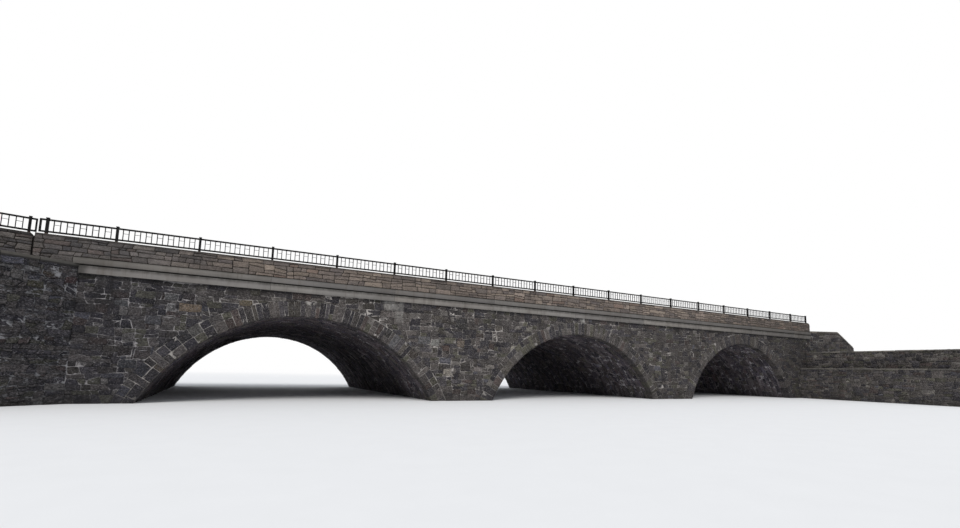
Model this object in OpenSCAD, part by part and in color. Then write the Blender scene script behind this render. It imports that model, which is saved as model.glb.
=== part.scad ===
// Stone arch road bridge with three arches, concrete parapets and steel railings.
// Sizes are those of the real bridge in mm; the model is built at half size.
// +X runs along the road, +Y goes away from the front face, +Z is up, and z = 0 is the water line.

/* [Scale] */

// size of the model against the real bridge
model_scale = 0.5; // [0.5:0.05:0.6]

/* [Arches] */

// centre of the left arch along the road
arch_1_x = 2809; // [2700:1:2900]
// radius of the left arch
arch_1_r = 5945; // [5700:5:6200]
// height of the left arch's crown above the water
arch_1_crown = 3287; // [3100:1:3400]
// centre of the middle arch along the road
arch_2_x = 16309; // [16200:1:16400]
// radius of the middle arch
arch_2_r = 5740; // [5600:5:6000]
// height of the middle arch's crown
arch_2_crown = 3342; // [3100:1:3450]
// centre of the right arch along the road
arch_3_x = 29605; // [29500:1:29700]
// radius of the right arch
arch_3_r = 5262; // [5100:5:5400]
// height of the right arch's crown
arch_3_crown = 3481; // [3300:1:3500]
// depth of the ring of arch stones
ring_t = 600; // [500:10:640]

/* [Stone walls] */

// width of the stonework between its two faces
bridge_w = 15470; // [14000:10:17000]
// corner between the front face and the left wing wall
corner_left = -4320; // [-4600:10:-4200]
// corner between the front face and the right wing wall
corner_right = 37300; // [37280:10:37600]
// height of the piers, where the spandrel walls start
pier_h = 2600; // [2200:10:2800]
// thickness of the spandrel walls
wall_t = 600; // [500:10:700]
// height of the top of the spandrel walls
band_z = 4170; // [4150:5:4250]
// angle of the left wing walls to the road
wing_left_angle = 35; // [30:1:40]
// length of the left wing walls
wing_left_l = 4600; // [4400:10:4800]
// angle of the right wing walls to the road
wing_right_angle = 26; // [24:1:30]
// length of the right wing walls
wing_right_l = 3200; // [3000:10:3400]
// length of the level top of the right wing walls
wing_right_flat = 2100; // [2000:10:2300]
// height of the right wing walls
wing_right_h = 4745; // [4700:5:4765]
// height of the right wing walls at their low end
wing_right_low = 3650; // [3400:10:3800]
// thickness of the concrete coping on the left wing walls
coping_t = 125; // [110:5:150]

/* [Terrace walls] */

// thickness of the two terrace walls beside the right abutment
terrace_t = 450; // [400:10:500]
// length of the terrace walls
terrace_l = 8400; // [8000:50:8800]
// left face of the lower terrace wall
terrace_low_x = 35900; // [35850:10:36000]
// height of the lower terrace wall
terrace_low_h = 2060; // [1900:10:2200]
// left face of the upper terrace wall
terrace_up_x = 36800; // [36750:10:36840]
// height of the upper terrace wall
terrace_up_h = 3200; // [3000:10:3400]

/* [Deck] */

// thickness of the deck slab
slab_t = 300; // [290:5:320]
// thickness of the road surface
road_t = 150; // [120:5:180]
// thickness of the sidewalks
walk_t = 300; // [260:5:320]
// line between sidewalk and kerb, from the front face
walk_edge = 2100; // [1900:10:2300]
// width of the kerbs
kerb_w = 150; // [120:5:180]

/* [Bands and parapets] */

// how far the lower band stands out past the stone face
band_low_out = 100; // [80:5:120]
// height of the front part of the lower band
band_low_h = 250; // [230:5:270]
// how far the upper band stands out past the stone face
band_up_out = 130; // [110:5:150]
// height of the upper band
band_up_h = 190; // [170:5:220]
// left end of the upper band, just past the corner of the wing wall
band_up_left = -4480; // [-4500:5:-4450]
// how far the parapet face stands out past the stone face
parapet_out = 60; // [40:5:80]
// thickness of the parapets
parapet_t = 260; // [240:5:300]
// height of the parapet walls above the upper band
parapet_h = 664; // [640:1:690]
// left end of the parapets, at the joint
parapet_left = -5495; // [-5510:5:-5480]
// right end of the parapets
parapet_right = 37290; // [37250:5:37295]
// length of the sloping top at the parapets' right end
parapet_slope_l = 130; // [100:5:130]
// drop of that sloping top
parapet_slope_h = 110; // [80:5:160]
// gap in the joint between parapet and approach parapet
joint_gap = 70; // [60:1:90]
// angle of the left approach parapets to the road
approach_angle = 16; // [12:1:20]
// how far the approach parapets stand back from the parapets at the joint
approach_back = 130; // [115:5:150]
// length of the approach parapets
approach_l = 2728; // [2715:1:2740]
// length of the sloping top at the approach parapets' end
approach_slope_l = 70; // [50:5:70]
// drop of that sloping top
approach_slope_h = 60; // [40:5:80]

/* [Railings] */

// distance between posts, about eight feet
bay = 2416; // [2412:1:2420]
// position of the post grid along the road
post_x = -5864; // [-5870:1:-5855]
// first post, counted in bays
post_first = 0.25; // [0.24:0.01:0.27]
// last post, counted in bays
post_last = 17.78; // [17.76:0.01:17.8]
// side of the square posts
post_w = 76; // [70:1:80]
// height of the posts above the parapet
post_h = 543; // [530:1:570]
// side of the post caps
cap_w = 88; // [84:1:96]
// thickness of the post caps
cap_t = 20; // [16:1:24]
// height of the top rail's upper face above the parapet
rail_top = 500; // [490:1:510]
// height and width of the top rail
rail_t = 50; // [44:1:56]
// height of the bottom rail's lower face above the parapet
rail_low = 67; // [55:1:80]
// height and width of the bottom rail
rail_low_t = 50; // [44:1:56]
// side of the square balusters
baluster_w = 25; // [20:1:28]
// spaces between balusters in a whole bay
baluster_n = 15; // [14:1:16]
// spaces between balusters in an end bay
baluster_end_n = 11; // [10:1:12]
// length of the rail past an end post
rail_tip = 157; // [140:1:160]
// first post of an approach parapet, from the joint
approach_post = 112; // [110:1:125]
// length of its rail past that post
approach_tip = 140; // [130:1:150]
// height of the cross bars in every second space, above the parapet
cross_h = 327; // [300:1:350]
// thickness of the cross bars
cross_t = 12; // [10:1:16]

/* [Hidden] */

$fn = 360;
arch_x = [arch_1_x, arch_2_x, arch_3_x];
arch_r = [arch_1_r, arch_2_r, arch_3_r];
arch_z = [arch_1_crown - arch_1_r, arch_2_crown - arch_2_r, arch_3_crown - arch_3_r];
span_ends = [corner_left, (arch_1_x + arch_2_x) / 2, (arch_2_x + arch_3_x) / 2, corner_right];
slab_z = band_z + slab_t;
band_up_z = slab_z;
parapet_z = band_up_z + band_up_h;
top_z = parapet_z + parapet_h;
rail_y = parapet_t / 2 - parapet_out;
bays = 17;

// plan of a wing wall: corner, outer end, inner end, inner corner
left_end = [corner_left - wing_left_l * cos(wing_left_angle), -wing_left_l * sin(wing_left_angle)];
left_in = [-wall_t * sin(wing_left_angle), wall_t * cos(wing_left_angle)];
right_end = [corner_right + wing_right_l * cos(wing_right_angle), -wing_right_l * sin(wing_right_angle)];
right_in = [wall_t * sin(wing_right_angle), wall_t * cos(wing_right_angle)];
right_flat = [
  corner_right + wing_right_flat * cos(wing_right_angle), -wing_right_flat * sin(wing_right_angle)
];

// inner face of the front approach parapet, at a place along the road
approach_x = parapet_left - joint_gap;
approach_y = approach_back - parapet_out;
function approach_in(x) =
  approach_y + parapet_t / cos(approach_angle) + (x - approach_x) * tan(approach_angle);

// the whole model is centred on its bounding box
min_x = left_end[0] + left_in[0];
max_x = right_end[0] + right_in[0];
min_y = -terrace_l;
max_y = bridge_w - left_end[1];
deck_right = right_flat[0] + right_in[0];
origin_x = (min_x + max_x) / 2;
origin_y = (min_y + max_y) / 2;

// puts a piece given in real sizes in place at the model's scale
module placed() {
  scale(model_scale)
    translate([-origin_x, -origin_y, 0])
      children();
}

// repeats a front piece on the back face
module on_back() {
  translate([0, bridge_w, 0])
    mirror([0, 1, 0])
      children();
}

// extrudes an outline drawn in x and z from y0 to y1
module along_y(y0, y1) {
  translate([0, y1, 0])
    rotate([90, 0, 0])
      linear_extrude(y1 - y0)
        children();
}

// extrudes an outline drawn in y and z from x0 to x1
module along_x(x0, x1) {
  translate([x0, 0, 0])
    rotate([90, 0, 90])
      linear_extrude(x1 - x0)
        children();
}

module arch_disc(i, extra) {
  translate([arch_x[i], arch_z[i]])
    circle(arch_r[i] + extra);
}

module box2(x0, z0, x1, z1) {
  translate([x0, z0])
    square([x1 - x0, z1 - z0]);
}

// vault of one arch, the full width of the bridge
module arch(i) {
  along_y(0, bridge_w)
    intersection() {
      difference() {
        arch_disc(i, ring_t);
        arch_disc(i, 0);
      }
      box2(arch_x[i] - 8000, 0, arch_x[i] + 8000, 6000);
    }
}

module arch_left() { color([0.34, 0.31, 0.28]) placed() arch(0); }
module arch_middle() { color([0.34, 0.31, 0.28]) placed() arch(1); }
module arch_right() { color([0.34, 0.31, 0.28]) placed() arch(2); }

// pier between arch i and the next one
module pier(i) {
  along_y(0, bridge_w)
    difference() {
      box2(arch_x[i], 0, arch_x[i + 1], pier_h);
      arch_disc(i, ring_t);
      arch_disc(i + 1, ring_t);
    }
}

module pier_left() { color([0.38, 0.35, 0.32]) placed() pier(0); }
module pier_right() { color([0.38, 0.35, 0.32]) placed() pier(1); }

// plan of the mass behind the wing walls at one end
module abutment_plan(corner, end, inward) {
  polygon([
    [corner, 0],
    [corner + inward[0], inward[1]],
    [end[0] + inward[0], end[1] + inward[1]],
    [end[0] + inward[0], bridge_w - end[1] - inward[1]],
    [corner + inward[0], bridge_w - inward[1]],
    [corner, bridge_w]
  ]);
}

module abutment_left() {
  color([0.36, 0.33, 0.30])
    placed() {
      linear_extrude(slab_z)
        abutment_plan(corner_left, left_end, left_in);
      along_y(0, bridge_w)
        difference() {
          box2(corner_left, 0, arch_x[0], pier_h);
          arch_disc(0, ring_t);
        }
    }
}

module abutment_right() {
  color([0.36, 0.33, 0.30])
    placed() {
      linear_extrude(slab_z)
        abutment_plan(corner_right, right_flat, right_in);
      along_y(0, bridge_w)
        difference() {
          box2(arch_x[2], 0, corner_right, pier_h);
          arch_disc(2, ring_t);
        }
    }
}

// wall above one arch on the front face
module spandrel(i) {
  along_y(0, wall_t)
    difference() {
      box2(span_ends[i], pier_h, span_ends[i + 1], band_z);
      arch_disc(i, ring_t);
    }
}

module spandrel_front_left() { color([0.40, 0.37, 0.34]) placed() spandrel(0); }
module spandrel_front_middle() { color([0.40, 0.37, 0.34]) placed() spandrel(1); }
module spandrel_front_right() { color([0.40, 0.37, 0.34]) placed() spandrel(2); }
module spandrel_back_left() { color([0.40, 0.37, 0.34]) placed() on_back() spandrel(0); }
module spandrel_back_middle() { color([0.40, 0.37, 0.34]) placed() on_back() spandrel(1); }
module spandrel_back_right() { color([0.40, 0.37, 0.34]) placed() on_back() spandrel(2); }

// wing walls flare away from the faces and stand free of the fill behind them
module wing_left() {
  translate([corner_left, 0, 0])
    rotate([0, 0, 180 + wing_left_angle])
      translate([0, -wall_t, 0])
        cube([wing_left_l, wall_t, slab_z - coping_t]);
}

module wing_right() {
  translate([corner_right, 0, 0])
    rotate([0, 0, -wing_right_angle])
      along_y(0, wall_t)
        polygon([
          [0, 0], [wing_right_l, 0], [wing_right_l, wing_right_low],
          [wing_right_flat, wing_right_h], [0, wing_right_h]
        ]);
}

module wing_front_left() { color([0.37, 0.34, 0.32]) placed() wing_left(); }
module wing_back_left() { color([0.37, 0.34, 0.32]) placed() on_back() wing_left(); }
module wing_front_right() { color([0.37, 0.34, 0.32]) placed() wing_right(); }
module wing_back_right() { color([0.37, 0.34, 0.32]) placed() on_back() wing_right(); }

// concrete coping on a left wing wall, level with the deck slab and running under the upper band
module wing_coping() {
  translate([corner_left, 0, slab_z - coping_t])
    rotate([0, 0, 180 + wing_left_angle])
      translate([0, -wall_t, 0])
        cube([wing_left_l, wall_t, coping_t]);
}

module wing_coping_front() { color([0.55, 0.54, 0.52]) placed() wing_coping(); }
module wing_coping_back() { color([0.55, 0.54, 0.52]) placed() on_back() wing_coping(); }

module terrace_lower() {
  color([0.40, 0.37, 0.34])
    placed()
      translate([terrace_low_x, -terrace_l, 0])
        cube([terrace_t, terrace_l, terrace_low_h]);
}

module terrace_upper() {
  color([0.40, 0.37, 0.34])
    placed()
      translate([terrace_up_x, -terrace_l, 0])
        cube([terrace_t, terrace_l, terrace_up_h]);
}

module deck_slab() {
  color([0.52, 0.51, 0.49])
    placed()
      translate([corner_left, 300, band_z])
        cube([corner_right - corner_left, bridge_w - 600, slab_t]);
}

module road_surface() {
  color([0.20, 0.20, 0.21])
    placed()
      translate([min_x, walk_edge + kerb_w, slab_z])
        cube([deck_right - min_x, bridge_w - 2 * (walk_edge + kerb_w), road_t]);
}

// the sidewalk widens behind the flared approach parapet and behind the right wing wall
module sidewalk() {
  translate([0, 0, slab_z])
    linear_extrude(walk_t)
      polygon([
        [deck_right, walk_edge], [min_x, walk_edge],
        [min_x, approach_in(min_x)], [approach_x, approach_in(approach_x)],
        [approach_x, parapet_t - parapet_out], [corner_right, parapet_t - parapet_out],
        [corner_right, 0], [corner_right + right_in[0], right_in[1]],
        [deck_right, right_flat[1] + right_in[1]]
      ]);
}

module sidewalk_front() { color([0.60, 0.59, 0.57]) placed() sidewalk(); }
module sidewalk_back() { color([0.60, 0.59, 0.57]) placed() on_back() sidewalk(); }

module kerb() {
  translate([min_x, walk_edge, slab_z])
    cube([deck_right - min_x, kerb_w, walk_t]);
}

module kerbs() {
  color([0.48, 0.47, 0.46])
    placed() {
      kerb();
      on_back() kerb();
    }
}

// smooth band at the edge of the deck slab, with a recess under the upper band
module band_lower() {
  along_x(corner_left, corner_right)
    polygon([
      [-band_low_out, band_z], [300, band_z], [300, slab_z], [-20, slab_z],
      [-20, band_z + band_low_h], [-band_low_out, band_z + band_low_h]
    ]);
}

module band_upper() {
  translate([band_up_left, -band_up_out, band_up_z])
    cube([parapet_right - band_up_left, band_up_out + parapet_t - parapet_out, band_up_h]);
}

module band_lower_front() { color([0.62, 0.60, 0.56]) placed() band_lower(); }
module band_lower_back() { color([0.62, 0.60, 0.56]) placed() on_back() band_lower(); }
module band_upper_front() { color([0.60, 0.58, 0.54]) placed() band_upper(); }
module band_upper_back() { color([0.60, 0.58, 0.54]) placed() on_back() band_upper(); }

// past the left end of the upper band the parapet reaches down to the wing wall
module parapet() {
  along_y(-parapet_out, parapet_t - parapet_out)
    polygon([
      [parapet_left, slab_z], [band_up_left, slab_z], [band_up_left, parapet_z],
      [parapet_right, parapet_z], [parapet_right, top_z - parapet_slope_h],
      [parapet_right - parapet_slope_l, top_z], [parapet_left, top_z]
    ]);
}

module parapet_front() { color([0.50, 0.45, 0.38]) placed() parapet(); }
module parapet_back() { color([0.50, 0.45, 0.38]) placed() on_back() parapet(); }

// frame of an approach parapet: x runs outward along it from the joint, y goes inward
module approach() {
  translate([approach_x, approach_y, 0])
    rotate([0, 0, approach_angle])
      mirror([1, 0, 0])
        children();
}

module approach_parapet() {
  approach()
    along_y(0, parapet_t)
      polygon([
        [0, slab_z], [approach_l, slab_z], [approach_l, top_z],
        [approach_slope_l, top_z], [0, top_z - approach_slope_h]
      ]);
}

module approach_parapet_front() { color([0.50, 0.45, 0.38]) placed() approach_parapet(); }
module approach_parapet_back() { color([0.50, 0.45, 0.38]) placed() on_back() approach_parapet(); }

// one railing post with its cap, standing at the origin
module post() {
  translate([-post_w / 2, -post_w / 2, 0])
    cube([post_w, post_w, post_h - cap_t]);
  translate([-cap_w / 2, -cap_w / 2, post_h - cap_t])
    cube([cap_w, cap_w, cap_t]);
}

// one upright bar between the rails
module baluster(x) {
  translate([x - baluster_w / 2, -baluster_w / 2, rail_low + rail_low_t])
    cube([baluster_w, baluster_w, rail_top - rail_t - rail_low - rail_low_t]);
}

// thin bar across the space before baluster i
module cross_bar(x, step) {
  translate([x, -cross_t / 2, cross_h - cross_t / 2])
    cube([step, cross_t, cross_t]);
}

// rails and bars between two posts at x0 and x1, with cross bars in every second space
module panel(x0, x1, spaces) {
  step = (x1 - x0) / spaces;
  translate([x0 + post_w / 2, -rail_t / 2, rail_top - rail_t])
    cube([x1 - x0 - post_w, rail_t, rail_t]);
  translate([x0 + post_w / 2, -rail_low_t / 2, rail_low])
    cube([x1 - x0 - post_w, rail_low_t, rail_low_t]);
  for (i = [1 : spaces - 1])
    baluster(x0 + i * step);
  for (i = [1 : 2 : spaces - 2])
    cross_bar(x0 + i * step, step);
}

// short rails before a first post, closed by an upright
module tip(x0, length) {
  far = x0 - post_w / 2 - length;
  translate([far, -rail_t / 2, rail_top - rail_t])
    cube([length, rail_t, rail_t]);
  translate([far, -rail_low_t / 2, rail_low])
    cube([length, rail_low_t, rail_low_t]);
  translate([far, -rail_low_t / 2, rail_low])
    cube([rail_low_t, rail_low_t, rail_top - rail_t - rail_low]);
}

function post_at(n) = post_x + bay * (n == 0 ? post_first : n == bays + 1 ? post_last : n);

module on_parapet() {
  translate([0, rail_y, top_z])
    children();
}

module posts() {
  on_parapet()
    for (n = [0 : bays + 1])
      translate([post_at(n), 0, 0])
        post();
}

module posts_front() { color([0.10, 0.10, 0.11]) placed() posts(); }
module posts_back() { color([0.10, 0.10, 0.11]) placed() on_back() posts(); }

module railing(first, last) {
  on_parapet() {
    for (n = [first : last])
      panel(post_at(n), post_at(n + 1), n == 0 || n == bays ? baluster_end_n : baluster_n);
    if (first == 0)
      tip(post_at(0), rail_tip);
  }
}

module railing_front_left() { color([0.10, 0.10, 0.11]) placed() railing(0, 5); }
module railing_front_middle() { color([0.10, 0.10, 0.11]) placed() railing(6, 11); }
module railing_front_right() { color([0.10, 0.10, 0.11]) placed() railing(12, 17); }
module railing_back_left() { color([0.10, 0.10, 0.11]) placed() on_back() railing(0, 5); }
module railing_back_middle() { color([0.10, 0.10, 0.11]) placed() on_back() railing(6, 11); }
module railing_back_right() { color([0.10, 0.10, 0.11]) placed() on_back() railing(12, 17); }

// railing of one whole bay on an approach parapet, with its two posts
module approach_railing() {
  approach()
    translate([0, parapet_t / 2, top_z]) {
      translate([approach_post, 0, 0]) post();
      translate([approach_post + bay, 0, 0]) post();
      panel(approach_post, approach_post + bay, baluster_n);
      tip(approach_post, approach_tip);
    }
}

module approach_railing_front() { color([0.10, 0.10, 0.11]) placed() approach_railing(); }
module approach_railing_back() { color([0.10, 0.10, 0.11]) placed() on_back() approach_railing(); }

arch_left();
arch_middle();
arch_right();
pier_left();
pier_right();
abutment_left();
abutment_right();
spandrel_front_left();
spandrel_front_middle();
spandrel_front_right();
spandrel_back_left();
spandrel_back_middle();
spandrel_back_right();
wing_front_left();
wing_back_left();
wing_front_right();
wing_back_right();
wing_coping_front();
wing_coping_back();
terrace_lower();
terrace_upper();
deck_slab();
road_surface();
sidewalk_front();
sidewalk_back();
kerbs();
band_lower_front();
band_lower_back();
band_upper_front();
band_upper_back();
parapet_front();
parapet_back();
approach_parapet_front();
approach_parapet_back();
posts_front();
posts_back();
railing_front_left();
railing_front_middle();
railing_front_right();
railing_back_left();
railing_back_middle();
railing_back_right();
approach_railing_front();
approach_railing_back();
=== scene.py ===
import math
import random
from itertools import pairwise

import bpy
from mathutils import Matrix, Vector, noise


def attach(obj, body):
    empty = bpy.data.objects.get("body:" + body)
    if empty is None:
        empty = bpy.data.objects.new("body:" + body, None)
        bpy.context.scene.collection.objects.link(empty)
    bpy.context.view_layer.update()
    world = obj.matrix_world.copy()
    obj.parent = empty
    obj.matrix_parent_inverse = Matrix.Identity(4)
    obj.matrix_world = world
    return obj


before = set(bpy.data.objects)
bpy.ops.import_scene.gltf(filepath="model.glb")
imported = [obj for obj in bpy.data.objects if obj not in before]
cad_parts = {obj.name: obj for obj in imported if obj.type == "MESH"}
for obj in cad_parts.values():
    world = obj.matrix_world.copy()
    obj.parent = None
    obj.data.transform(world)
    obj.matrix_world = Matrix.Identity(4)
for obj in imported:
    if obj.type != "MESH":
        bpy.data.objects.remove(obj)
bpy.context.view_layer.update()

# Camera: where the photograph was taken from, about 20 m in front of the left arch, and turned as it was.
# Places below are in metres on the real bridge, and at() gives them on this half-size model. A wide lens, held low.
SCALE = 0.5
ORIGIN_X, ORIGIN_Y = 16.0035, 4.8542


def at(x, y, z):
    """Point of the model for a point of the real bridge, whose front face is y = 0 and whose piers stand on z = 0."""
    return Vector(((x - ORIGIN_X) * SCALE, (y - ORIGIN_Y) * SCALE, z * SCALE))


PHOTO_W, PHOTO_H = 960, 528
FOCAL_PX = 483.0
AXIS_ROW_PX = 313.7  # row of the picture that the axis of the lens meets
TURN, TILT, ROLL = math.radians(27.81), math.radians(6.816), math.radians(1.346)
CAMERA_AT = (0, -19.656, 1.315)


def add(name, data):
    """New object in the scene."""
    made = bpy.data.objects.new(name, data)
    bpy.context.scene.collection.objects.link(made)
    return made


lens = bpy.data.cameras.new("camera")
lens.sensor_fit = "HORIZONTAL"
lens.sensor_width = 36
lens.lens = 36 * FOCAL_PX / PHOTO_W
lens.shift_y = (AXIS_ROW_PX - PHOTO_H / 2) / PHOTO_W
lens.clip_end = 400
camera = add("camera", lens)
aimed = Matrix.Rotation(-TURN, 4, "Z") @ Matrix.Rotation(math.pi / 2 + TILT, 4, "X") @ Matrix.Rotation(ROLL, 4, "Z")
camera.matrix_world = Matrix.Translation(at(*CAMERA_AT)) @ aimed
bpy.context.scene.camera = camera


# Studio: a pale floor under the piers, a white surround and one broad soft lamp from the front left.
# The floor turns into the white surround far away, so that no horizon shows.
class Signal:
    """Output of a shader node. Arithmetic on it adds Math nodes."""

    def __init__(self, graph, socket):
        self.graph, self.socket = graph, socket

    def _math(self, operation, first, second):
        return self.graph.node("ShaderNodeMath", {"operation": operation}, {0: first, 1: second})

    def __add__(self, other):
        return self._math("ADD", self, other)

    def __sub__(self, other):
        return self._math("SUBTRACT", self, other)

    def __rsub__(self, other):
        return self._math("SUBTRACT", other, self)

    def __mul__(self, other):
        return self._math("MULTIPLY", self, other)

    __radd__ = __add__
    __rmul__ = __mul__

    def size(self):
        """The value without its sign."""
        return self._math("ABSOLUTE", self, 0)

    def rises(self, low, high):
        """0 at low, 1 at high, smooth between and level outside; low may be the larger one."""
        return self.graph.node("ShaderNodeMapRange", {"interpolation_type": "SMOOTHSTEP"},
                               {"Value": self, "From Min": low, "From Max": high})


def rgb(red, green, blue):
    """Colour from the 0 to 255 values that a picture shows."""
    return tuple(((c / 255 + 0.055) / 1.055) ** 2.4 if c > 10 else c / 255 / 12.92 for c in (red, green, blue)) + (1,)


WHITE = (1, 1, 1, 1)


class Graph:
    """Node tree of a material or of the world; node() adds a node and returns its output."""

    def __init__(self, owner):
        owner.use_nodes = True
        self.tree = owner.node_tree

    def node(self, kind, settings=None, sockets=None, output=0):
        made = self.tree.nodes.new(kind)
        for key, value in (settings or {}).items():
            setattr(made, key, value)
        for key, value in (sockets or {}).items():
            self.join(value, made.inputs[key])
        return Signal(self, made.outputs[output])

    def join(self, value, socket):
        if isinstance(value, Signal):
            self.tree.links.new(value.socket, socket)
        else:
            socket.default_value = value


class Finish(Graph):
    """Material with a Principled shader, whose constant sockets are given by name, and its colour so far."""

    def __init__(self, name, **constants):
        self.material, self.colour = bpy.data.materials.new(name), WHITE
        super().__init__(self.material)
        self.shader = self.tree.nodes["Principled BSDF"]
        for socket, value in constants.items():
            self.set(socket.replace("_", " "), value)

    def set(self, socket, value):
        self.join(value, self.shader.inputs[socket])

    def place(self, upright=1):
        """Position on the model in metres, with its height multiplied by upright."""
        coordinates = self.node("ShaderNodeTexCoord", output="Object")
        return self.node("ShaderNodeVectorMath", {"operation": "MULTIPLY"}, {0: coordinates, 1: (1, 1, upright)})

    def along(self, axis):
        """Position on the model along one axis: 0 for x, 1 for y, 2 for z."""
        return self.node("ShaderNodeSeparateXYZ", sockets={0: self.place()}, output=axis)

    def noise(self, scale, detail, roughness, upright=1):
        """Noise from about 0.25 to 0.75, with features of about 1/scale metres, drawn out in height by 1/upright."""
        return self.node("ShaderNodeTexNoise", sockets={
            "Vector": self.place(upright), "Scale": scale, "Detail": detail, "Roughness": roughness})

    def cells(self, feature, scale, output, vector=None):
        """Voronoi cells: their Distance or their Color."""
        return self.node("ShaderNodeTexVoronoi", {"feature": feature},
                         {"Vector": vector or self.place(), "Scale": scale}, output)

    def tint(self):
        """The colour that each stone of a mesh was given."""
        return self.node("ShaderNodeAttribute", {"attribute_name": "tint"}, output="Color")

    def blend(self, first, second, factor, mode="MIX"):
        return self.node("ShaderNodeMix", {"data_type": "RGBA", "blend_type": mode},
                         {0: factor, 6: first, 7: second}, 2)

    def coat(self, shade, amount):
        """Lays a shade over the colour so far."""
        self.colour = self.blend(self.colour, shade, amount)

    def dim(self, factor):
        """Multiplies the colour so far by a number or a tint."""
        self.colour = self.blend(self.colour, factor, 1, "MULTIPLY")

    def done(self, roughness, height, strength, distance):
        """Joins colour, roughness and bump to the shader, and returns the material."""
        self.set("Base Color", self.colour)
        self.set("Roughness", roughness)
        self.set("Normal", self.node("ShaderNodeBump", sockets={
            "Height": height, "Strength": strength, "Distance": distance}))
        return self.material


bpy.context.scene.view_settings.view_transform = "Standard"
f = Finish("studio_floor", Roughness=0.9, Specular_IOR_Level=0.1)
f.set("Base Color", f.blend(rgb(228, 229, 231), rgb(224, 225, 227), f.noise(3, 3, 0.5)))
seen = f.node("ShaderNodeLightPath", output="Is Camera Ray")
distance = f.node("ShaderNodeVectorMath", {"operation": "LENGTH"}, {0: f.place()}, "Value")
glow = f.node("ShaderNodeEmission", sockets={"Color": WHITE, "Strength": 1})
surface = f.node("ShaderNodeMixShader", sockets={
    0: seen * distance.rises(15, 55), 1: Signal(f, f.shader.outputs[0]), 2: glow})
f.join(surface, f.tree.nodes["Material Output"].inputs["Surface"])

FLOOR_R, FLOOR_Z = 150, -0.002
floor_mesh = bpy.data.meshes.new("studio_floor")
rim = [(FLOOR_R * math.cos(a), FLOOR_R * math.sin(a), FLOOR_Z) for a in (math.tau * i / 64 for i in range(64))]
floor_mesh.from_pydata(rim, [], [list(range(64))])
floor_mesh.materials.append(f.material)
studio_floor = add("studio_floor", floor_mesh)

AMBIENT = 0.7
world = bpy.data.worlds.new("studio")
bpy.context.scene.world = world
surround = Graph(world)
any_view = 0
for ray in ("Is Camera Ray", "Is Glossy Ray", "Is Transmission Ray"):
    seen = surround.node("ShaderNodeLightPath", output=ray)
    any_view = surround.node("ShaderNodeMath", {"operation": "MAXIMUM"}, {0: seen, 1: any_view})
light = surround.tree.nodes["Background"]
surround.join((0.93, 0.96, 1, 1), light.inputs["Color"])
surround.join(AMBIENT, light.inputs["Strength"])
white = surround.node("ShaderNodeBackground", sockets={"Color": WHITE, "Strength": 1})
either = surround.node("ShaderNodeMixShader", sockets={0: any_view, 1: Signal(surround, light.outputs[0]), 2: white})
surround.join(either, surround.tree.nodes["World Output"].inputs["Surface"])

lamp = bpy.data.lights.new("soft_lamp", "SUN")
lamp.energy = 2.1
lamp.angle = math.radians(30)
lamp.color = (1, 0.975, 0.94)
lamp_object = add("soft_lamp", lamp)
lamp_object.rotation_euler = Vector((0.5, 0.78, -0.85)).to_track_quat("-Z", "Y").to_euler()

# Rubble faces between the corners: split field stone in rough courses, bedded in lime mortar by hand.
# The CAD faces are the mortar, and every stone is a block with worn edges that stands a little proud of it.
BRIDGE_W = 15.47
LEFT_CORNER, RIGHT_CORNER = -4.32, 37.3
WALL_TOP = 4.17
ARCHES = {"left": (2.809, 5.945, 3.287), "middle": (16.309, 5.74, 3.342), "right": (29.605, 5.262, 3.481)}
RING = 0.6
JOINT = 0.011
noise.seed_set(5)  # without it the waves in the courses differ from run to run
# how often each is picked, and the colour
STONE_COLOURS = (
    (24, 75, 71, 70), (18, 67, 64, 67), (14, 84, 79, 77), (12, 58, 56, 60), (9, 80, 78, 69), (8, 72, 68, 64),
    (5, 74, 65, 63), (6, 101, 97, 94), (6, 47, 45, 50), (2, 80, 79, 85))
# single stones that stand out on the front face: place of the middle, width, height and colour
FRONT_STONES = (
    (-3.17, 3.54, 0.52, 0.22, 68, 60, 58), (-1.14, 3.31, 0.7, 0.3, 116, 102, 87), (-3.12, 3.28, 0.4, 0.2, 86, 86, 86),
    (-1.7, 3.27, 0.28, 0.27, 109, 107, 105), (-1.2, 3.69, 0.38, 0.25, 60, 55, 56),
    (-1.74, 3.62, 0.42, 0.2, 96, 95, 94), (-2.87, 1.66, 0.38, 0.28, 56, 51, 51), (-2.4, 1.6, 0.46, 0.3, 73, 67, 65),
    (-2.76, 1.28, 0.52, 0.26, 65, 65, 68), (-1.68, 2.79, 0.56, 0.27, 90, 85, 82), (-2.2, 2.8, 0.44, 0.3, 82, 81, 83),
    (9.45, 3.45, 0.6, 0.44, 48, 47, 47), (9.07, 3.93, 0.7, 0.23, 53, 51, 51), (7.66, 2.62, 0.56, 0.34, 91, 90, 92),
    (8.84, 1.23, 0.5, 0.36, 128, 122, 115), (9.69, 1.43, 0.52, 0.29, 53, 50, 48),
    (8.71, 2.28, 0.36, 0.25, 78, 66, 62), (8.18, 2.53, 0.4, 0.26, 120, 119, 116),
    (10.32, 1.41, 0.46, 0.2, 114, 108, 106), (10.92, 1.54, 0.48, 0.19, 119, 114, 110),
    (9.41, 2.52, 0.34, 0.3, 101, 92, 84), (11.03, 2.47, 0.28, 0.32, 63, 55, 52),
    (12.25, 2.42, 0.36, 0.3, 139, 134, 124), (21.3, 2.45, 0.3, 0.22, 131, 128, 123),
    (0.6, 3.62, 0.44, 0.2, 100, 91, 77), (10.4, 2.95, 0.4, 0.24, 59, 53, 50), (24.2, 1.5, 0.42, 0.26, 111, 106, 98),
    (13.1, 3.4, 0.34, 0.24, 113, 109, 103))


def sides(outline):
    """The sides of an outline, each as its two ends."""
    return zip(outline, outline[1:] + outline[:1])


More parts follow.
